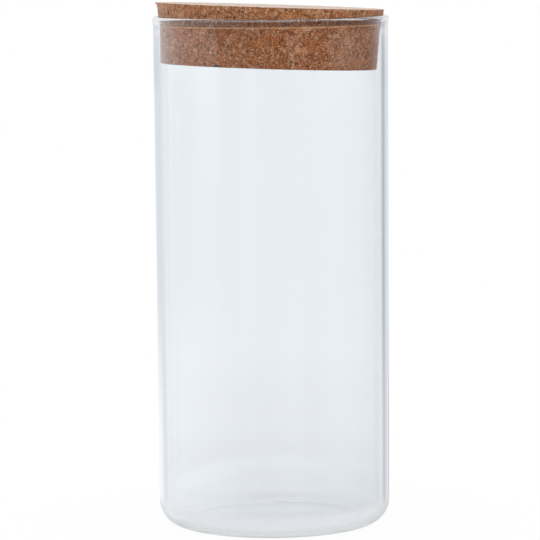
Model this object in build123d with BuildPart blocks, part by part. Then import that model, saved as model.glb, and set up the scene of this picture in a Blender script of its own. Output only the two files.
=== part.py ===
# Clear glass storage jar with a stopper of pressed cork granules.
# Millimetres, +Z up. The origin is the centre of the jar's foot, on the table.
from build123d import *
from math import cos, radians, sin, tan
import os

os.makedirs("parts", exist_ok=True)

# Glass jar: a tall cylinder, a trace wider at its fire-polished mouth than at its heel
mouth_diameter = 100.0
jar_height = 217.9
side_draft = 0.6
wall = 2.2
bead_proud = 0.4
bead_height = 3.4
heel_radius = 10.3
floor_height = 2.6
foot_width = 2.4
punt_rise = 0.7

# Cork stopper: wedged in the mouth, leaning a little, its far right side lowest
stopper_thickness = 25.6
stopper_proud = 4.25
stopper_tilt = 2.41
lean_heading = 20.5
band_height = 10.4
band_flare_share = 0.15
bottom_play = 1.75
wedge_clearance = 0.1
top_edge_round = 0.3
bottom_edge_round = 0.5

# Sizes of the jar that follow
mouth_radius = mouth_diameter / 2
heel_wall_radius = mouth_radius - side_draft
bore_radius = mouth_radius - wall
bore_foot_radius = bore_radius - side_draft
bead_radius = mouth_radius + bead_proud
rim_round = (wall + bead_proud) / 2
rim_centre = bead_radius - rim_round
bore_top = jar_height - rim_round
bead_start = jar_height - bead_height
foot_outer_radius = heel_wall_radius - heel_radius
foot_inner_radius = foot_outer_radius - foot_width
inner_heel_radius = heel_radius - wall

# Sizes of the stopper that follow
# Its low side sits deepest in the mouth, so it sets how wide the top can be
lean = radians(stopper_tilt)
heading = radians(lean_heading)
low_side_depth = stopper_proud + rim_round - bore_radius * tan(lean)
low_side_gain = (band_flare_share + sin(lean)) * low_side_depth
stopper_top_radius = bore_radius - wedge_clearance + low_side_gain
stopper_band_radius = stopper_top_radius - band_flare_share * band_height
stopper_bottom_radius = bore_radius - bottom_play

# Glass jar, turned in one piece
with BuildPart() as glass_jar:
    with BuildSketch(Plane.XZ):
        with BuildLine():
            punt = TangentArc((0, punt_rise), (foot_inner_radius, 0), tangent=(1, 0))
            foot = Line(punt @ 1, (foot_outer_radius, 0))
            heel = TangentArc(foot @ 1, (heel_wall_radius, heel_radius), tangent=(1, 0))
            side = Line(heel @ 1, (mouth_radius, bead_start))
            # The bead swells out of the wall in two matching curves
            bead_middle = ((mouth_radius + bead_radius) / 2, (bead_start + bore_top) / 2)
            swell_out = TangentArc(side @ 1, bead_middle, tangent=(0, 1))
            swell_in = TangentArc(swell_out @ 1, (bead_radius, bore_top), tangent=swell_out % 1)
            rim = ThreePointArc(swell_in @ 1, (rim_centre, jar_height), (bore_radius, bore_top))
            bore = Line(rim @ 1, (bore_foot_radius, floor_height + inner_heel_radius))
            inner_heel = TangentArc(
                bore @ 1,
                (bore_foot_radius - inner_heel_radius, floor_height),
                tangent=(0, -1),
            )
            inside_floor = Line(inner_heel @ 1, (0, floor_height))
            Line(inside_floor @ 1, punt @ 0)
        make_face()
    revolve(axis=Axis.Z)

# Cork stopper, turned about its own leaning axis
stopper_top = Vector(0, 0, jar_height + stopper_proud)
downhill = Vector(cos(heading) * cos(lean), sin(heading) * cos(lean), -sin(lean))
section_plane = Plane(
    origin=stopper_top,
    x_dir=downhill,
    z_dir=(sin(heading), -cos(heading), 0),
)
stopper_axis = Axis(section_plane.origin, section_plane.y_dir)
with BuildPart() as cork_stopper:
    with BuildSketch(section_plane):
        with BuildLine():
            Polyline(
                (0, 0),
                (stopper_top_radius, 0),
                (stopper_band_radius, -band_height),
                (stopper_bottom_radius, -stopper_thickness),
                (0, -stopper_thickness),
                close=True,
            )
        make_face()
    revolve(axis=stopper_axis)
    rings = cork_stopper.edges().filter_by(GeomType.CIRCLE)
    fillet(rings.sort_by(stopper_axis)[-1], radius=top_edge_round)
    rings = cork_stopper.edges().filter_by(GeomType.CIRCLE)
    fillet(rings.sort_by(stopper_axis)[0], radius=bottom_edge_round)

glass_jar.part.label = "glass_jar"
cork_stopper.part.label = "cork_stopper"
for piece in (glass_jar, cork_stopper):
    export_step(piece.part, f"parts/{piece.part.label}.step")
    print(piece.part.label, round(piece.part.volume), "cubic millimetres")
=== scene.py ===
"""Glass storage jar with a pressed-cork stopper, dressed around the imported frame.

Metres, +Z up. The jar's axis is the world's Z axis and its foot stands on z = 0.
"""

import math
import random

import bpy
import numpy as np
from mathutils import Matrix, Vector


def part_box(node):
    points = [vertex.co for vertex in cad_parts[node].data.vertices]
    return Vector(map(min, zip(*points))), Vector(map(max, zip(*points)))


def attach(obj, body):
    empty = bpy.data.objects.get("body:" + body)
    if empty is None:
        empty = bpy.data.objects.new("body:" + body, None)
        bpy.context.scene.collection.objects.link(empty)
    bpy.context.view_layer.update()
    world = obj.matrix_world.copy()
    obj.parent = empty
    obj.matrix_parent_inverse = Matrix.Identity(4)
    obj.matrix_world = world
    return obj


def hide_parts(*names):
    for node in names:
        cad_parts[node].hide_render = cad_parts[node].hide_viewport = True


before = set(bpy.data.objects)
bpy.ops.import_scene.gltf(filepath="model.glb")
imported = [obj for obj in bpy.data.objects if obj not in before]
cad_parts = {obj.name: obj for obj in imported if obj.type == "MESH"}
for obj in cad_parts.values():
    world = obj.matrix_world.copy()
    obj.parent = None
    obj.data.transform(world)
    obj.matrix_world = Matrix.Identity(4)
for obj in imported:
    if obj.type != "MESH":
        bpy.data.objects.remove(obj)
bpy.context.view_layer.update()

MM = 0.001

# Sizes read from the frame
_, jar_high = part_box("glass_jar")
BEAD_RADIUS = jar_high.x
JAR_HEIGHT = jar_high.z

# Glass jar, the sizes that the frame's box does not give
BEAD_PROUD = 0.4 * MM
BEAD_HEIGHT = 3.4 * MM
WALL = 2.2 * MM
HEEL_RADIUS = 10.3 * MM
SIDE_DRAFT = 0.6 * MM
FLOOR_HEIGHT = 2.6 * MM
FOOT_WIDTH = 2.4 * MM
PUNT_RISE = 0.7 * MM
MOUTH_RADIUS = BEAD_RADIUS - BEAD_PROUD
BORE_RADIUS = MOUTH_RADIUS - WALL
GLASS_STEPS = 360
DRAWN_RIPPLE = 0.012 * MM
DRAWN_TWIST = 0.6
DRAWN_WAVES = (2, 3, 5, 7, 11, 16, 23, 31)
DRAWN_SEED = 7
TRAPPED_AFTER = 5.5
GLASS_IOR = 1.47
GLASS_TINT = (0.966, 0.983, 1.0, 1.0)
OPEN_TINT = (0.96, 0.975, 0.98, 1.0)
BODY_TINT = (0.2, 0.75, 0.9, 1.0)
BODY_DENSITY = 3.0

# Cork stopper, in the axes of its own leaning top
LEAN = math.radians(2.41)
HEADING = math.radians(20.5)
CORK_PROUD = 4.25 * MM
CORK_THICKNESS = 25.6 * MM
CORK_TOP_RADIUS = 48.37 * MM
CORK_BAND_RADIUS = 46.81 * MM
CORK_BAND_HEIGHT = 10.4 * MM
CORK_BOTTOM_RADIUS = 46.05 * MM
CORK_TOP_EDGE = 0.3 * MM
CORK_BOTTOM_EDGE = 0.5 * MM
CORK_STEPS = 720

# Pressed cork
FINE_GRANULE = 1.35 * MM
COARSE_GRANULE = 2.9 * MM
COARSE_FROM = 0.84
COARSE_CALM = 0.75
PIT_FROM = 0.95
PIT_EDGE = (0.03, 0.2)
JOINT_DEPTH = 0.10 * MM
PIT_DEPTH = 0.35 * MM
LEVEL_DEPTH = 0.05 * MM
WARP_SCALE = 420.0
WARP_REACH = 2.0 * MM
BREAK_SCALE = 520.0
BREAK_LEVELS = (0.46, 0.56)
FINE_JOINT = 0.13
COARSE_JOINT = 0.045
COARSE_JOINT_SHARE = 0.7

# Its colours, from the granules up, with how much of each shows
BROWNS = [
    (0.0, (0.28, 0.087, 0.023)),
    (0.35, (0.367, 0.132, 0.044)),
    (0.8, (0.446, 0.177, 0.068)),
    (1.0, (0.58, 0.342, 0.195)),
]
MOTTLE_SCALE = 1100.0
MOTTLE_LEVELS = (0.42, 0.60)
MOTTLE_BROWN = (0.265, 0.088, 0.023, 1.0)
MOTTLE_SHARE = 0.48
JOINT_BROWN = (0.125, 0.030, 0.004, 1.0)
JOINT_SHARE = 0.85
GRIT_SCALE = 2300.0
PALE_GRIT_LEVELS = (0.54, 0.64)
PALE_GRIT_BROWN = (0.64, 0.54, 0.41, 1.0)
PALE_GRIT_SHARE = 0.43
DARK_GRIT_LEVELS = (0.36, 0.46)
DARK_GRIT_BROWN = (0.15, 0.036, 0.006, 1.0)
DARK_GRIT_SHARE = 0.85
PIT_BROWN = (0.07, 0.022, 0.007, 1.0)
PIT_SHARE = 0.6
# Painted shade in the chip's hollow, near black
CHIP_PAINTED_SHADE = (0.03, 0.028, 0.035, 1.0)
CHIP_SHADE_SHARE = 0.85
# Painted reflection: the top face made paler, standing in for the bright room it mirrors at a grazing view
TOP_PAINTED_REFLECTION = (0.47, 0.41, 0.34, 1.0)
TOP_REFLECTION_SHARE = 0.45
TOP_FACING = (0.75, 0.95)

# Its curls, each by seed, scale, line width and the noise level that patches start at
PALE_CURLS = (7.7, 700.0, 0.036, 0.48)
PALE_CURL_BROWN = (0.67, 0.57, 0.44, 1.0)
PALE_CURL_SHARE = 0.74
DARK_CURLS = (3.1, 600.0, 0.050, 0.50)
DARK_CURL_BROWN = (0.085, 0.018, 0.003, 1.0)
PATCH_SCALE_SHARE = 0.9
PATCH_FADE = 0.05

# Its dull, dusty and pored surface
CORK_IOR = 1.35
PORE_SCALE = 2600.0
PORE_SHARE = 0.4
PORE_LEVELS = (0.35, 0.65)
BUMP_DEPTH = 0.15 * MM
BUMP_STRENGTH = 0.5
ROUGH_LEVELS = (0.3, 0.7)
ROUGHNESSES = (0.65, 0.85)
DUST_ROUGHNESS = 0.4

# Painted shadow that the glass bead casts on the stopper, a ring of dark streaks, and a painted pale band of
# light that the bead bends below it, by depth below the rim
SHADOW_BAND_TOP = 0.3 * MM
SHADOW_BAND_BOTTOM = 3.1 * MM
BAND_EDGE_FADE = 0.35 * MM
SHADOW_END_SHARE = 0.55
SHADOW_HIGH_SIDE = 0.77
SHADOW_LOW_SIDE = 1.0
# Painted pale band of light that the glass bead bends onto the cork below its shadow
BENT_LIGHT_BOTTOM = 4.1 * MM
BENT_LIGHT_SHARE = 0.62
PAINTED_BENT_LIGHT = (0.68, 0.40, 0.23, 1.0)
PAINTED_SHADOW_BROWN = (0.03, 0.009, 0.003, 1.0)
STREAK_SCALE = 1100.0
STREAK_STRETCH = (1.0, 1.0, 0.1)
STREAK_LEVELS = (0.38, 0.62)
STREAK_LEAST = 0.46
# Painted tints by the rim: shade on the cork above the rim, where no glass stands between it and the lamps,
# and warmth on the cork inside the glass against the glass's cool tint
ABOVE_RIM_PAINTED_SHADE = (0.85, 0.82, 0.75, 1.0)
IN_GLASS_PAINTED_TINT = (0.97, 0.82, 0.70, 1.0)
EXPOSED_DUST = 0.26
SHELTERED_DUST = 0.45
TOP_DUST = 0.30

# A chip off the stopper's lower edge, with painted shade in its hollow, and a crumb on its upper one, by
# angle from downhill
CHIP_ANGLE = -138.0
CHIP_REACH = (2.0 * MM, 1.1 * MM)
CHIP_DEPTH = 0.9 * MM
CHIP_SHADE_REACH = 1.85 * MM
CHIP_SHADE_SHAPE = (1.0, 1.0, 1.7)
CHIP_SHADE_FADE = (0.8, 1.2)
CRUMB_ANGLE = 159.5
CRUMB_REACH = (1.6 * MM, 0.9 * MM)
CRUMB_PROUD = 0.8 * MM

# Camera, from a fit of the jar's and the stopper's outlines
IMAGE_SIDE = 540
SENSOR_WIDTH = 36.0
FOCAL_PIXELS = 3571.7
CAMERA_DISTANCE = 1.522
CAMERA_HEIGHT = 0.2655
CAMERA_PITCH = math.radians(5.864)
CAMERA_YAW = math.radians(-0.042)
CAMERA_ROLL = math.radians(-0.502)


# Node helpers

def node(tree, kind, inputs=None, **settings):
    """A new node with its settings and its inputs, which are values or sockets."""
    made = tree.nodes.new(kind)
    for name, value in settings.items():
        setattr(made, name, value)
    for name, value in (inputs or {}).items():
        if isinstance(value, bpy.types.NodeSocket):
            tree.links.new(value, made.inputs[name])
        else:
            made.inputs[name].default_value = value
    return made


def maths(tree, operation, first, second=0.0):
    """The result socket of one Math node."""
    return node(tree, "ShaderNodeMath", {0: first, 1: second}, operation=operation).outputs[0]


def product(tree, *factors):
    """The factors multiplied together, in their order."""
    result = factors[0]
    for factor in factors[1:]:
        result = maths(tree, "MULTIPLY", result, factor)
    return result


def vector_maths(tree, operation, first, second=(0.0, 0.0, 0.0)):
    """The result socket of one Vector Math node: a number for a length or a dot product."""
    made = node(tree, "ShaderNodeVectorMath", {0: first, 1: second}, operation=operation)
    return made.outputs["Value" if operation in ("LENGTH", "DOT_PRODUCT") else "Vector"]


def scaled(tree, vector, factor):
    """The vector made longer or shorter by a factor."""
    return node(tree, "ShaderNodeVectorMath", {0: vector, "Scale": factor}, operation="SCALE").outputs[0]


def axes_of(tree, vector):
    """The three number sockets of a vector."""
    return node(tree, "ShaderNodeSeparateXYZ", {0: vector}).outputs


def noise(tree, place, scale, detail):
    """The value of a noise texture, whose scale is in features to the metre."""
    wires = {"Vector": place, "Scale": scale, "Detail": detail}
    return node(tree, "ShaderNodeTexNoise", wires).outputs[0]


def ranged(tree, value, low, high, to_low=0.0, to_high=1.0, smooth=False):
    """value mapped from low..high to to_low..to_high and held at the ends."""
    kind = "SMOOTHSTEP" if smooth else "LINEAR"
    wires = {"Value": value, "From Min": low, "From Max": high, "To Min": to_low, "To Max": to_high}
    return node(tree, "ShaderNodeMapRange", wires, interpolation_type=kind).outputs[0]


def mixed(tree, share, first, second, blend="MIX"):
    """The colour socket of one Mix node."""
    wires = {0: share, 6: first, 7: second}
    return node(tree, "ShaderNodeMix", wires, data_type="RGBA", blend_type=blend).outputs[2]


def mixed_value(tree, share, first, second):
    """first where share is 0, second where it is 1."""
    change = product(tree, maths(tree, "SUBTRACT", second, first), share)
    return maths(tree, "ADD", first, change)


def blended(tree, share, first, second):
    """The node that mixes the first outputs of two shader nodes."""
    return node(tree, "ShaderNodeMixShader", {0: share, 1: first.outputs[0], 2: second.outputs[0]})


def ramp(tree, value, stops, interpolation="LINEAR"):
    """The colour socket of a ramp with stops of (place, colour)."""
    made = node(tree, "ShaderNodeValToRGB", {0: value})
    band = made.color_ramp
    band.interpolation = interpolation
    for place, _ in stops[2:]:
        band.elements.new(place)
    for element, (place, colour) in zip(band.elements, stops):
        element.position = place
        element.color = (*colour, 1.0)
    return made.outputs[0]


def new_material(name):
    """An empty node material and its output node."""
    made = bpy.data.materials.new(name)
    made.use_nodes = True
    made.node_tree.nodes.clear()
    output = made.node_tree.nodes.new("ShaderNodeOutputMaterial")
    return made, made.node_tree, output


def straight_ray(tree, bounces_so_far):
    """1 where a ray came from the eye with nothing but glass on its way, else 0."""
    path = node(tree, "ShaderNodeLightPath").outputs
    turned = maths(tree, "SUBTRACT", path["Ray Depth"], path["Transmission Depth"])
    unturned = maths(tree, "LESS_THAN", turned, bounces_so_far + 0.5)
    seen = maths(tree, "MAXIMUM", path["Is Camera Ray"], path["Is Transmission Ray"])
    return product(tree, unturned, seen)


def undiffused(tree):
    """1 where a ray from the eye has met only glass, 0 where it gathers light for a dull surface."""
    depth = node(tree, "ShaderNodeLightPath").outputs["Diffuse Depth"]
    return maths(tree, "LESS_THAN", depth, 0.5)


# Mesh helpers

def lathe(name, profile, steps, bend=None):
    """A closed turned solid. The profile runs from the axis out and back to the axis."""
    rings = np.array(profile[1:-1])
    angles = np.arange(steps) * (2 * math.pi / steps)
    radius = np.repeat(rings[:, :1], steps, axis=1)
    height = np.repeat(rings[:, 1:], steps, axis=1)
    if bend is not None:
        radius, height = bend(radius, height, angles[None, :])
    ring_points = np.stack([radius * np.sin(angles), -radius * np.cos(angles), height], axis=-1)
    points = [*ring_points.reshape(-1, 3).tolist(), (0, 0, profile[0][1]), (0, 0, profile[-1][1])]
    first_pole = len(points) - 2
    last_pole = len(points) - 1
    last_ring = (len(rings) - 1) * steps
    faces = []
    for ring in range(len(rings) - 1):
        for step in range(steps):
            after = (step + 1) % steps
            here = ring * steps
            above = here + steps
            faces.append((here + step, here + after, above + after, above + step))
    for step in range(steps):
        after = (step + 1) % steps
        faces.append((first_pole, after, step))
        faces.append((last_pole, last_ring + step, last_ring + after))
    mesh = bpy.data.meshes.new(name)
    mesh.from_pydata(points, [], faces)
    mesh.validate()
    mesh.shade_smooth()
    piece = bpy.data.objects.new(name, mesh)
    bpy.context.scene.collection.objects.link(piece)
    return piece


def arc(centre, radius, start, end, count):
    """Points on an arc in the section's plane, from start to end degrees."""
    angles = np.radians(np.linspace(start, end, count))
    return [(centre[0] + radius * math.cos(a), centre[1] + radius * math.sin(a)) for a in angles]


def run(start, end, count):
    """Points along a straight run, without its two ends."""
    shares = np.linspace(0, 1, count + 2)[1:-1]
    return [(start[0] + s * (end[0] - start[0]), start[1] + s * (end[1] - start[1])) for s in shares]


# Glass jar

def jar_profile():
    """The jar's section from the middle of the foot, up the outside and down the inside."""
    foot_outer = MOUTH_RADIUS - SIDE_DRAFT - HEEL_RADIUS
    foot_inner = foot_outer - FOOT_WIDTH
    rim_round = (WALL + BEAD_PROUD) / 2
    rim_centre = BEAD_RADIUS - rim_round
    bore_top = JAR_HEIGHT - rim_round
    bead_start = JAR_HEIGHT - BEAD_HEIGHT
    inner_heel = HEEL_RADIUS - WALL
    punt = [(foot_inner * s, PUNT_RISE * (1 - s * s)) for s in np.linspace(0, 1, 24)]
    heel = arc((foot_outer, HEEL_RADIUS), HEEL_RADIUS, -90, 0, 28)
    swell_shares = np.linspace(0, 1, 14)[:-1]
    swell = [
        (
            MOUTH_RADIUS + BEAD_PROUD * (1 - math.cos(math.pi * s)) / 2,
            bead_start + s * (bore_top - bead_start),
        )
        for s in swell_shares
    ]
    rim = arc((rim_centre, bore_top), rim_round, 0, 180, 25)
    inner_corner = (BORE_RADIUS - SIDE_DRAFT - inner_heel, FLOOR_HEIGHT + inner_heel)
    inside = arc(inner_corner, inner_heel, 0, -90, 24)
    side = run(heel[-1], swell[0], 40)
    bore = run(rim[-1], inside[0], 40)
    inside_floor = run(inside[-1], (0, FLOOR_HEIGHT), 12)
    return [*punt, *heel, *side, *swell, *rim, *bore, *inside, *inside_floor, (0, FLOOR_HEIGHT)]


def drawn_ripple(radius, height, angles):
    """Faint lengthwise waves that drawing leaves in a glass tube."""
    chance = random.Random(DRAWN_SEED)
    wave = np.zeros_like(radius)
    for order in DRAWN_WAVES:
        phase = chance.uniform(0, 2 * math.pi)
        turn = chance.uniform(-DRAWN_TWIST, DRAWN_TWIST)
        wave += np.cos(order * angles + phase + turn * height / JAR_HEIGHT) / order ** 0.6
    drawn_in = SIDE_DRAFT * (1 - height / JAR_HEIGHT)
    inner = radius < BORE_RADIUS + WALL / 2 - drawn_in
    on_wall = np.clip((radius + drawn_in - BORE_RADIUS + HEEL_RADIUS) / HEEL_RADIUS, 0, 1)
    depth = np.where(inner, DRAWN_RIPPLE, DRAWN_RIPPLE / 4)
    return radius + (wave - np.abs(wave).max()) * depth * on_wall * (radius > 0), height


def clear_glass():
    """Clear glass with a faint cool body. It lets lamplight through, and light caught in its wall out."""
    material, tree, output = new_material("clear_glass")
    wires = {"Base Color": GLASS_TINT, "Roughness": 0.0, "IOR": GLASS_IOR, "Transmission Weight": 1.0}
    glass = node(tree, "ShaderNodeBsdfPrincipled", wires)
    open_way = node(tree, "ShaderNodeBsdfTransparent", {"Color": OPEN_TINT})
    path = node(tree, "ShaderNodeLightPath").outputs
    trapped = maths(tree, "GREATER_THAN", path["Ray Depth"], TRAPPED_AFTER)
    open_share = maths(tree, "MAXIMUM", path["Is Shadow Ray"], trapped)
    both = blended(tree, open_share, glass, open_way)
    body = node(tree, "ShaderNodeVolumeAbsorption", {"Color": BODY_TINT, "Density": BODY_DENSITY})
    tree.links.new(both.outputs[0], output.inputs["Surface"])
    tree.links.new(body.outputs[0], output.inputs["Volume"])
    return material


def make_jar():
    jar = lathe("jar_glass", jar_profile(), GLASS_STEPS, drawn_ripple)
    jar.data.materials.append(clear_glass())
    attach(jar, "jar")
    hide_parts("glass_jar")


# Cork stopper

def cork_profile():
    """The stopper's section in its own axes, from the middle of its base to the middle of its top."""
    base = -CORK_THICKNESS
    bottom_round = arc(
        (CORK_BOTTOM_RADIUS - CORK_BOTTOM_EDGE, base + CORK_BOTTOM_EDGE), CORK_BOTTOM_EDGE, -90, 0, 6
    )
    top_round = arc((CORK_TOP_RADIUS - CORK_TOP_EDGE, -CORK_TOP_EDGE), CORK_TOP_EDGE, 0, 90, 5)
    band = (CORK_BAND_RADIUS, -CORK_BAND_HEIGHT)
    return [
        (0, base),
        *run((0, base), bottom_round[0], 28),
        *bottom_round,
        *run(bottom_round[-1], band, 30),
        band,
        *run(band, top_round[0], 22),
        *top_round,
        *run(top_round[-1], (0, 0), 34),
        (0, 0),
    ]


def leaning_axes():
    """The matrix from the stopper's own axes to the row's frame."""
    downhill = Vector(
        (
            math.cos(HEADING) * math.cos(LEAN),
            math.sin(HEADING) * math.cos(LEAN),
            -math.sin(LEAN),
        )
    )
    across = Vector((-math.sin(HEADING), math.cos(HEADING), 0))
    up = downhill.cross(across)
    turn = Matrix((downhill, across, up)).transposed().to_4x4()
    return Matrix.Translation((0, 0, JAR_HEIGHT + CORK_PROUD)) @ turn


def moved_by(tree, place, noise_scale, detail, reach):
    """The place, shifted by a noise of its own."""
    warp = node(tree, "ShaderNodeTexNoise", {"Vector": place, "Scale": noise_scale, "Detail": detail})
    centred = vector_maths(tree, "SUBTRACT", warp.outputs["Color"], (0.5, 0.5, 0.5))
    return vector_maths(tree, "ADD", place, scaled(tree, centred, reach))


def granules(tree, place, size):
    """For granules of one size: how near a joint is, and two chances of each granule."""
    wires = {"Vector": place, "Scale": 1.0 / size, "Randomness": 1.0}
    edge = node(tree, "ShaderNodeTexVoronoi", wires, feature="DISTANCE_TO_EDGE").outputs["Distance"]
    cell = node(tree, "ShaderNodeTexVoronoi", wires, feature="F1").outputs["Color"]
    chances = axes_of(tree, cell)
    return edge, chances[0], chances[1]


def curls(tree, place, seed, noise_scale, width, cover):
    """Short curled lines: thin level lines of a noise, kept in patches."""
    shifted = vector_maths(tree, "ADD", place, (seed, seed, seed))
    field = noise(tree, shifted, noise_scale, 2.0)
    off_level = maths(tree, "ABSOLUTE", maths(tree, "SUBTRACT", field, 0.5))
    line = ranged(tree, off_level, 0.0, width, 1.0, 0.0, smooth=True)
    patch_wires = {"Vector": shifted, "Scale": noise_scale * PATCH_SCALE_SHARE, "Detail": 1.0, "W": seed}
    patches = node(tree, "ShaderNodeTexNoise", patch_wires, noise_dimensions="4D").outputs[0]
    kept = ranged(tree, patches, cover, cover + PATCH_FADE, smooth=True)
    return product(tree, line, kept)


def cork_fields(tree, place):
    """What the stopper's relief and colour share: joints, each granule's tone, and pits."""
    moved = moved_by(tree, place, WARP_SCALE, 3.0, WARP_REACH)
    fine_edge, fine_tone, fine_pit = granules(tree, moved, FINE_GRANULE)
    coarse_edge, coarse_tone, coarse_pick = granules(tree, moved, COARSE_GRANULE)
    kept = ranged(tree, noise(tree, place, BREAK_SCALE, 2.0), *BREAK_LEVELS, smooth=True)
    fine_joint = product(tree, ranged(tree, fine_edge, 0.0, FINE_JOINT, 1.0, 0.0, smooth=True), kept)
    coarse_joint = ranged(tree, coarse_edge, 0.0, COARSE_JOINT, 1.0, 0.0, smooth=True)
    is_coarse = maths(tree, "GREATER_THAN", coarse_pick, COARSE_FROM)
    in_fine = product(tree, fine_joint, maths(tree, "SUBTRACT", 1.0, is_coarse))
    joint = maths(tree, "MAXIMUM", in_fine, product(tree, coarse_joint, COARSE_JOINT_SHARE))
    tone = mixed_value(tree, is_coarse, fine_tone, coarse_tone)
    inside = ranged(tree, fine_edge, *PIT_EDGE, smooth=True)
    pit = product(tree, maths(tree, "GREATER_THAN", fine_pit, PIT_FROM), inside)
    return joint, tone, pit, is_coarse


def knocked(piece):
    """Takes a chip off the lower edge and raises a crumb on the upper one, in the piece's own axes."""
    edges = (
        (CHIP_ANGLE, (CORK_BOTTOM_RADIUS, -CORK_THICKNESS), CHIP_REACH, -CHIP_DEPTH),
        (CRUMB_ANGLE, (CORK_TOP_RADIUS, -CORK_TOP_EDGE), CRUMB_REACH, CRUMB_PROUD),
    )
    for vertex in piece.data.vertices:
        x, y, z = vertex.co
        radius = math.hypot(x, y)
        for degrees, (edge_radius, edge_height), (along_reach, across_reach), change in edges:
            angle = math.radians(degrees)
            along = radius * math.remainder(math.atan2(y, x) - angle, 2 * math.pi)
            across = math.hypot(radius - edge_radius, z - edge_height)
            share = max(0.0, 1 - math.hypot(along / along_reach, across / across_reach))
            if share > 0:
                stretch = 1 + change * share / radius
                vertex.co.x = x * stretch
                vertex.co.y = y * stretch


def roughened(piece):
    """Gives the stopper real relief: sunk joints between granules, and pits where one fell out."""
    tree = bpy.data.node_groups.new("cork_relief", "GeometryNodeTree")
    tree.interface.new_socket("Geometry", in_out="INPUT", socket_type="NodeSocketGeometry")
    tree.interface.new_socket("Geometry", in_out="OUTPUT", socket_type="NodeSocketGeometry")
    start = tree.nodes.new("NodeGroupInput")
    end = tree.nodes.new("NodeGroupOutput")
    place = node(tree, "GeometryNodeInputPosition").outputs[0]
    normal = node(tree, "GeometryNodeInputNormal").outputs[0]
    joint, tone, pit, _ = cork_fields(tree, place)
    joint_depth = product(tree, joint, JOINT_DEPTH)
    pit_depth = product(tree, pit, PIT_DEPTH)
    level_depth = product(tree, tone, LEVEL_DEPTH)
    depth = maths(tree, "ADD", maths(tree, "ADD", joint_depth, pit_depth), level_depth)
    offset = scaled(tree, normal, product(tree, depth, -1.0))
    setter = node(tree, "GeometryNodeSetPosition", {"Geometry": start.outputs[0], "Offset": offset})
    tree.links.new(setter.outputs[0], end.inputs[0])
    modifier = piece.modifiers.new("relief", "NODES")
    modifier.node_group = tree
    bpy.context.view_layer.update()
    graph = bpy.context.evaluated_depsgraph_get()
    relief = bpy.data.meshes.new_from_object(piece.evaluated_get(graph))
    piece.modifiers.remove(modifier)
    piece.data = relief
    relief.shade_smooth()


def painted_under_bead(tree, place, depth, colour):
    """The colour with painted light round the rim: a painted shadow of the glass bead in dark upright
    streaks, over a painted pale band of light that the bead bends, with painted shade above the rim and
    painted warmth inside the glass.
    """
    below_rim = ranged(tree, depth, SHADOW_BAND_TOP - BAND_EDGE_FADE, SHADOW_BAND_TOP, smooth=True)
    above_end = ranged(tree, depth, SHADOW_BAND_BOTTOM, SHADOW_BAND_BOTTOM + BAND_EDGE_FADE, 1.0, 0.0, smooth=True)
    upright = vector_maths(tree, "MULTIPLY", place, STREAK_STRETCH)
    streaks = ranged(tree, noise(tree, upright, STREAK_SCALE, 2.0), *STREAK_LEVELS, STREAK_LEAST, 1.0)
    shadow_fade = ranged(tree, depth, SHADOW_BAND_TOP, SHADOW_BAND_BOTTOM, 1.0, SHADOW_END_SHARE)
    # Painted shadow of the glass bead, in upright streaks, fading with depth
    bead_shadow = product(tree, below_rim, above_end, shadow_fade, streaks)
    # Painted band of bent light just below the painted shadow
    bent_light_end = ranged(tree, depth, BENT_LIGHT_BOTTOM - BAND_EDGE_FADE, BENT_LIGHT_BOTTOM, 1.0, 0.0, smooth=True)
    bent_light = product(tree, bent_light_end, maths(tree, "SUBTRACT", 1.0, above_end), streaks)
    # Painted tints: shade above the rim, warmth inside the glass
    painted_glass_tint = mixed(tree, below_rim, ABOVE_RIM_PAINTED_SHADE, IN_GLASS_PAINTED_TINT)
    glass_tinted = mixed(tree, 1.0, colour, painted_glass_tint, "MULTIPLY")
    with_bent_light = mixed(tree, product(tree, bent_light, BENT_LIGHT_SHARE), glass_tinted, PAINTED_BENT_LIGHT)
    # The painted shadow is darker on the stopper's low side
    low_side = (math.cos(HEADING), math.sin(HEADING), 0)
    lowness = vector_maths(tree, "DOT_PRODUCT", place, low_side)
    sides = (-CORK_TOP_RADIUS, CORK_TOP_RADIUS)
    darkness = ranged(tree, lowness, *sides, SHADOW_HIGH_SIDE, SHADOW_LOW_SIDE)
    return mixed(tree, product(tree, bead_shadow, darkness), with_bent_light, PAINTED_SHADOW_BROWN)


def painted_chip_shade(tree, place):
    """How much of the painted shade in the chip's hollow shows at a place."""
    angle = math.radians(CHIP_ANGLE)
    across = (CORK_BOTTOM_RADIUS * math.cos(angle), CORK_BOTTOM_RADIUS * math.sin(angle))
    centre = tuple(leaning_axes() @ Vector((*across, -CORK_THICKNESS)))
    offset = vector_maths(tree, "SUBTRACT", place, centre)
    distance = vector_maths(tree, "LENGTH", vector_maths(tree, "MULTIPLY", offset, CHIP_SHADE_SHAPE))
    start, end = (share * CHIP_SHADE_REACH for share in CHIP_SHADE_FADE)
    return ranged(tree, distance, start, end, CHIP_SHADE_SHARE, 0.0, smooth=True)


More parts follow.
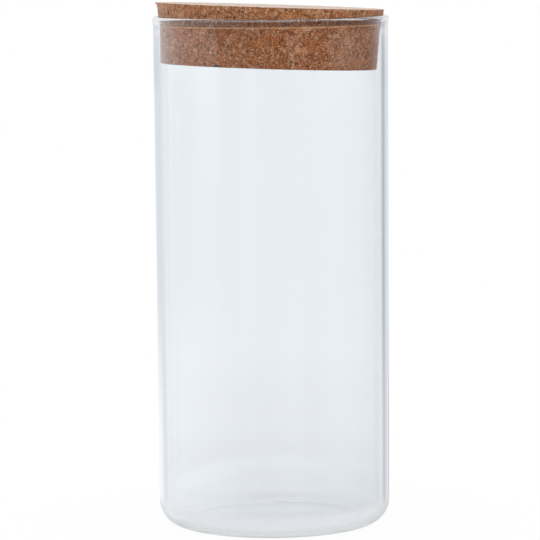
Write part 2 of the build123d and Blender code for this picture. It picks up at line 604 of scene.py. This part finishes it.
def cork_colour(tree, place, joint, tone, pit, busy):
    """The granules' browns, with joints, flecks, grit, curls, pits and the painted shade in the chip's
    hollow over them.
    """
    browns = ramp(tree, tone, BROWNS)
    blotches = ranged(tree, noise(tree, place, MOTTLE_SCALE, 3.0), *MOTTLE_LEVELS, 0.0, MOTTLE_SHARE)
    mottled = mixed(tree, product(tree, blotches, busy), browns, MOTTLE_BROWN)
    jointed = mixed(tree, product(tree, joint, JOINT_SHARE), mottled, JOINT_BROWN)
    pale_curls = product(tree, curls(tree, place, *PALE_CURLS), busy, PALE_CURL_SHARE)
    flecked = mixed(tree, pale_curls, jointed, PALE_CURL_BROWN)
    grit = noise(tree, place, GRIT_SCALE, 2.0)
    pale_grit = product(tree, ranged(tree, grit, *PALE_GRIT_LEVELS, 0.0, PALE_GRIT_SHARE), busy)
    gritty = mixed(tree, pale_grit, flecked, PALE_GRIT_BROWN)
    dark_grit = product(tree, ranged(tree, grit, *DARK_GRIT_LEVELS, DARK_GRIT_SHARE, 0.0), busy)
    peppered = mixed(tree, dark_grit, gritty, DARK_GRIT_BROWN)
    dark_curls = product(tree, curls(tree, place, *DARK_CURLS), busy)
    darkened = mixed(tree, dark_curls, peppered, DARK_CURL_BROWN)
    pitted = mixed(tree, product(tree, pit, PIT_SHARE), darkened, PIT_BROWN)
    # Painted shade in the chip's hollow
    return mixed(tree, painted_chip_shade(tree, place), pitted, CHIP_PAINTED_SHADE)


def pressed_cork():
    """Pressed cork: granules of close browns, broken dark joints, and dark and pale curled shavings."""
    material, tree, output = new_material("pressed_cork")
    place = node(tree, "ShaderNodeTexCoord").outputs["Object"]
    depth = maths(tree, "SUBTRACT", JAR_HEIGHT, axes_of(tree, place)[2])
    joint, tone, pit, is_coarse = cork_fields(tree, place)
    busy = ranged(tree, is_coarse, 0.0, 1.0, 1.0, COARSE_CALM)
    # Painted shadow and bent light under the glass bead, and painted tints above and below the rim
    bead_painted = painted_under_bead(tree, place, depth, cork_colour(tree, place, joint, tone, pit, busy))
    normal = node(tree, "ShaderNodeNewGeometry").outputs["Normal"]
    on_top = ranged(tree, axes_of(tree, normal)[2], *TOP_FACING, smooth=True)
    # Painted reflection on the upward-facing top face
    top_reflected = mixed(tree, product(tree, on_top, TOP_REFLECTION_SHARE), bead_painted, TOP_PAINTED_REFLECTION)
    dusts = (EXPOSED_DUST, SHELTERED_DUST)
    side_dust = ranged(tree, depth, SHADOW_BAND_TOP - BAND_EDGE_FADE, SHADOW_BAND_TOP, *dusts, smooth=True)
    dust = mixed_value(tree, on_top, side_dust, TOP_DUST)
    pores = noise(tree, place, PORE_SCALE, 4.0)
    relief = product(tree, ranged(tree, pores, *PORE_LEVELS), PORE_SHARE)
    height = maths(tree, "SUBTRACT", relief, joint)
    bump_wires = {"Height": height, "Strength": BUMP_STRENGTH, "Distance": BUMP_DEPTH}
    bump = node(tree, "ShaderNodeBump", bump_wires)
    wires = {
        "Base Color": top_reflected,
        "Roughness": ranged(tree, pores, *ROUGH_LEVELS, *ROUGHNESSES),
        "Normal": bump.outputs[0],
        "IOR": CORK_IOR,
        "Sheen Weight": dust,
        "Sheen Roughness": DUST_ROUGHNESS,
    }
    cork = node(tree, "ShaderNodeBsdfPrincipled", wires)
    tree.links.new(cork.outputs[0], output.inputs["Surface"])
    return material


def make_stopper():
    stopper = lathe("stopper_cork", cork_profile(), CORK_STEPS)
    knocked(stopper)
    stopper.data.transform(leaning_axes())
    roughened(stopper)
    stopper.data.materials.clear()
    stopper.data.materials.append(pressed_cork())
    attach(stopper, "stopper")
    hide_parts("cork_stopper")


# Stage

FLOOR_RADIUS = 0.72
FLOOR_STEPS = 128
PAPER_TONE = 0.60
WHITE_START = 0.05
WHITE_END = 0.14
BEHIND_END = 0.30
EYE_LEAST = 0.955
GLOW_LEAST = 0.85
# Painted contact shadow in near reflections: the paper's tone, darker inside the foot than outside it
MIRROR_PAINTED_TONES = (0.63, 0.745)
# Painted pool of window light on the paper's left side, in near reflections
WINDOW_SIDE = (-0.041, -0.048)
PAINTED_WINDOW_LIGHT = 0.115
# Where the painted shadow round the foot fades out
FOOT_START = 0.034
FOOT_END = 0.038
# Painted shade on the paper seen through the glass: darker near the jar, lighter far off
BEHIND_PAINTED_SHADES = [
    (0.0, 0.72),
    (0.06, 0.815),
    (0.12, 0.88),
    (0.18, 0.892),
    (0.24, 0.908),
    (0.42, 0.955),
    (0.9, 1.0),
]
OPEN_START = 0.06
OPEN_END = 0.11


def floor_paper():
    """White paper: nearly plain white to the eye; a soft grey through the glass, with painted shade that
    darkens near the jar; in near reflections a painted shadow round the foot and a painted pool of window
    light; open to far reflections.
    """
    material, tree, output = new_material("floor_paper")
    place = node(tree, "ShaderNodeTexCoord").outputs["Object"]
    distance = vector_maths(tree, "LENGTH", place)
    path = node(tree, "ShaderNodeLightPath").outputs
    by_eye = path["Is Camera Ray"]
    paper = node(tree, "ShaderNodeBsdfDiffuse", {"Color": (PAPER_TONE, PAPER_TONE, PAPER_TONE, 1.0)})
    reach = maths(tree, "DIVIDE", distance, FLOOR_RADIUS)
    # Painted shade through the glass, by distance from the jar
    behind = ramp(tree, reach, [(share, (tone, tone, tone)) for share, tone in BEHIND_PAINTED_SHADES], "EASE")
    straight = straight_ray(tree, 0)
    # Painted pool of window light on the left, for near reflections
    painted_window_pool = ranged(tree, axes_of(tree, place)[0], *WINDOW_SIDE, 0.0, PAINTED_WINDOW_LIGHT, smooth=True)
    # Painted shadow round the foot, for near reflections
    painted_foot_shadow = ranged(tree, distance, FOOT_START, FOOT_END, *MIRROR_PAINTED_TONES, smooth=True)
    mirror_tone = maths(tree, "ADD", painted_foot_shadow, painted_window_pool)
    glass_tone = mixed(tree, straight, mirror_tone, behind)
    shown_tone = mixed(tree, by_eye, glass_tone, (1.0, 1.0, 1.0, 1.0))
    glow = node(tree, "ShaderNodeEmission", {"Color": shown_tone, "Strength": 1.0})
    eye_share = ranged(tree, distance, WHITE_START, WHITE_END, EYE_LEAST, 1.0, smooth=True)
    through_share = ranged(tree, distance, WHITE_START, BEHIND_END, GLOW_LEAST, 1.0, smooth=True)
    share = mixed_value(tree, by_eye, through_share, eye_share)
    clean = undiffused(tree)
    both = blended(tree, product(tree, share, clean), paper, glow)
    mirrored = maths(tree, "SUBTRACT", clean, straight)
    out_of_reach = ranged(tree, distance, OPEN_START, OPEN_END, smooth=True)
    opening = node(tree, "ShaderNodeBsdfTransparent")
    shown = blended(tree, product(tree, mirrored, out_of_reach), both, opening)
    tree.links.new(shown.outputs[0], output.inputs["Surface"])
    return material


def make_floor():
    angles = [2 * math.pi * step / FLOOR_STEPS for step in range(FLOOR_STEPS)]
    ring = [(FLOOR_RADIUS * math.cos(a), FLOOR_RADIUS * math.sin(a), 0) for a in angles]
    mesh = bpy.data.meshes.new("floor")
    mesh.from_pydata(ring, [], [tuple(range(FLOOR_STEPS))])
    mesh.materials.append(floor_paper())
    floor = bpy.data.objects.new("floor", mesh)
    bpy.context.scene.collection.objects.link(floor)


# What the glass mirrors round the room, by degrees from the front, -Y, towards +X
ROOM_RING = [
    (-180, 1.25),
    (-168, 0.78),
    (-144, 0.76),
    (-126, 0.82),
    (-114, 0.71),
    (-102, 0.53),
    (-78, 0.52),
    (-66, 0.46),
    (-58, 0.40),
    (-50, 0.13),
    (-36, 0.13),
    (-24, 0.24),
    (-12, 0.18),
    (6, 0.04),
    (18, 0.05),
    (30, 0.14),
    (42, 0.11),
    (54, 0.0),
    (84, 0.03),
    (108, 0.13),
    (120, 0.36),
    (130, 0.42),
    (137, 0.75),
    (144, 0.25),
    (152, 0.63),
    (162, 0.84),
    (172, 0.78),
    (180, 0.66),
]
ROOM_TINT = (0.95, 0.985, 1.03)

# The same at the mouth's height, where panes stand out on the stopper
HIGH_RING = [
    (-180, 1.0),
    (-171, 0.74),
    (-163, 0.70),
    (-150, 0.72),
    (-126, 0.86),
    (-112, 0.88),
    (-102, 0.76),
    (-74, 0.76),
    (-58, 0.86),
    (-54, 0.34),
    (-36, 0.25),
    (-12, 0.05),
    (16, 0.04),
    (18, 0.45),
    (30, 0.2),
    (42, 0.06),
    (58, 0.04),
    (62, 0.46),
    (84, 0.44),
    (100, 0.18),
    (112, 0.06),
    (124, 0.22),
    (137, 0.75),
    (144, 0.25),
    (152, 0.57),
    (162, 0.84),
    (180, 0.66),
]
HIGH_HEIGHTS = (-0.056, -0.047)

# The same below the table's height, where the window's side is bright
LOWER_RING = [
    (-180, 0.82),
    (-168, 1.04),
    (-156, 0.94),
    (-144, 0.72),
    (-132, 1.0),
    (-120, 0.98),
    (-108, 1.07),
    (-96, 1.09),
    (-84, 1.05),
    (-66, 0.79),
    (-48, 0.54),
    (-36, 0.28),
    (-12, 0.1),
    (12, 0.25),
    (24, 0.3),
    (40, 0.0),
    (84, 0.04),
    (96, 0.02),
    (108, 0.19),
    (120, 0.38),
    (130, 0.39),
    (137, 0.78),
    (144, 0.56),
    (152, 0.61),
    (162, 0.9),
    (172, 0.45),
    (180, 0.85),
]
LOWER_TINT = (0.98, 0.99, 1.02)
LOWER_HEIGHTS = (-0.10, -0.15)
BACKDROP = (0.91, 0.87, 0.88, 1.0)
BACKDROP_DEPTHS = (0.3, 0.7)
BACKDROP_HEIGHTS = (-0.05, -0.01)
CEILING = (0.84, 0.84, 0.84, 1.0)
CEILING_HEIGHTS = (0.45, 0.75)

# The lit ceiling's edge that the rim's round mirrors, by the same degrees
BOX_RING = [
    (-180, 1.0),
    (-110, 0.8),
    (-90, 1.8),
    (-60, 3.8),
    (-40, 5.2),
    (-10, 4.7),
    (20, 5.5),
    (45, 2.8),
    (70, 3.2),
    (92, 11.0),
    (118, 12.0),
    (132, 4.0),
    (150, 1.6),
    (180, 1.0),
]
BOX_TINT = (0.93, 1.0, 1.0)
BOX_DEPTHS = (-0.5, -0.2)
BOX_BOTTOM = (-0.03, 0.02)
BOX_LOW_SHARE = 0.45
BOX_FULL = (0.3, 0.7)
BOX_SEEN_AGAIN = (0.72, 0.74, 0.75, 1.0)
BOX_SEEN_WITHIN = 3.5


def room_ring(tree, turn, ring, tint):
    """The colour of the room by the share of a turn."""
    stops = [((degrees + 180) / 360, [level * c for c in tint]) for degrees, level in ring]
    return ramp(tree, turn, stops)


def make_world():
    """White behind the object; in reflections, a dim room with a broad window on the left."""
    world = bpy.data.worlds.new("studio")
    bpy.context.scene.world = world
    world.use_nodes = True
    tree = world.node_tree
    tree.nodes.clear()
    output = tree.nodes.new("ShaderNodeOutputWorld")
    axes = axes_of(tree, node(tree, "ShaderNodeTexCoord").outputs["Generated"])
    frontward = product(tree, axes[1], -1.0)
    azimuth = maths(tree, "ARCTAN2", axes[0], frontward)
    turn = ranged(tree, azimuth, -math.pi, math.pi)
    downward = ranged(tree, axes[2], *LOWER_HEIGHTS, smooth=True)
    upper_room = room_ring(tree, turn, ROOM_RING, ROOM_TINT)
    upward = ranged(tree, axes[2], *HIGH_HEIGHTS, smooth=True)
    high_room = mixed(tree, upward, upper_room, room_ring(tree, turn, HIGH_RING, ROOM_TINT))
    walls = mixed(tree, downward, high_room, room_ring(tree, turn, LOWER_RING, LOWER_TINT))
    far_side = ranged(tree, axes[1], *BACKDROP_DEPTHS, smooth=True)
    standing = ranged(tree, axes[2], *BACKDROP_HEIGHTS, smooth=True)
    backed = mixed(tree, product(tree, far_side, standing), walls, BACKDROP)
    overhead = ranged(tree, axes[2], *CEILING_HEIGHTS, smooth=True)
    roofed = mixed(tree, overhead, backed, CEILING)
    in_front = ranged(tree, frontward, *BOX_DEPTHS, smooth=True)
    above_edge = ranged(tree, axes[2], *BOX_BOTTOM, smooth=True)
    fullness = ranged(tree, axes[2], *BOX_FULL, BOX_LOW_SHARE, 1.0, smooth=True)
    path = node(tree, "ShaderNodeLightPath").outputs
    first_bounce = maths(tree, "LESS_THAN", path["Ray Depth"], BOX_SEEN_WITHIN)
    box_tone = mixed(tree, first_bounce, BOX_SEEN_AGAIN, room_ring(tree, turn, BOX_RING, BOX_TINT))
    sharply = product(tree, undiffused(tree), path["Is Singular Ray"])
    box_share = product(tree, in_front, above_edge, fullness, sharply)
    room = mixed(tree, box_share, roofed, box_tone)
    seen = straight_ray(tree, 1)
    colour = mixed(tree, seen, room, (1.0, 1.0, 1.0, 1.0))
    background = node(tree, "ShaderNodeBackground", {"Color": colour, "Strength": 1.0})
    tree.links.new(background.outputs[0], output.inputs["Surface"])


def make_lamp(name, place, target, side, power):
    """A square soft lamp that points at a target and shows in no reflection."""
    data = bpy.data.lights.new(name, "AREA")
    data.shape = "SQUARE"
    data.size = side
    data.energy = power
    lamp = bpy.data.objects.new(name, data)
    lamp.location = place
    lamp.visible_glossy = False
    lamp.visible_transmission = False
    lamp.rotation_mode = "QUATERNION"
    lamp.rotation_quaternion = (Vector(target) - Vector(place)).to_track_quat("-Z", "Y")
    bpy.context.scene.collection.objects.link(lamp)


def make_lamps():
    middle = (0, 0, JAR_HEIGHT / 2)
    make_lamp("key_lamp", (-0.8, -1.3, 0.8), middle, 0.8, 14.2)
    make_lamp("fill_lamp", (1.3, -0.9, 0.6), middle, 0.8, 15.5)
    make_lamp("left_lamp", (-1.3, 0.35, 0.5), middle, 0.5, 5.2)
    make_lamp("right_lamp", (1.4, 0.1, 0.5), middle, 0.5, 3.0)
    make_lamp("top_lamp", (0.0, 0.25, 1.3), middle, 0.9, 5.0)


def make_camera():
    """The photograph's camera: level turn, then tilt down, then a slight roll."""
    data = bpy.data.cameras.new("camera")
    data.sensor_width = SENSOR_WIDTH
    data.lens = FOCAL_PIXELS * SENSOR_WIDTH / IMAGE_SIDE
    data.clip_end = 50
    ahead = Vector(
        (
            math.sin(CAMERA_YAW) * math.cos(CAMERA_PITCH),
            math.cos(CAMERA_YAW) * math.cos(CAMERA_PITCH),
            -math.sin(CAMERA_PITCH),
        )
    )
    level_right = Vector((math.cos(CAMERA_YAW), -math.sin(CAMERA_YAW), 0))
    level_up = level_right.cross(ahead)
    right = level_right * math.cos(CAMERA_ROLL) + level_up * math.sin(CAMERA_ROLL)
    up = level_up * math.cos(CAMERA_ROLL) - level_right * math.sin(CAMERA_ROLL)
    turn = Matrix((right, up, -ahead)).transposed().to_4x4()
    camera = bpy.data.objects.new("camera", data)
    camera.matrix_world = Matrix.Translation((0, -CAMERA_DISTANCE, CAMERA_HEIGHT)) @ turn
    bpy.context.scene.collection.objects.link(camera)
    bpy.context.scene.camera = camera


bpy.context.scene.view_settings.view_transform = "Standard"
make_camera()
make_world()
make_lamps()
make_floor()
make_jar()
make_stopper()
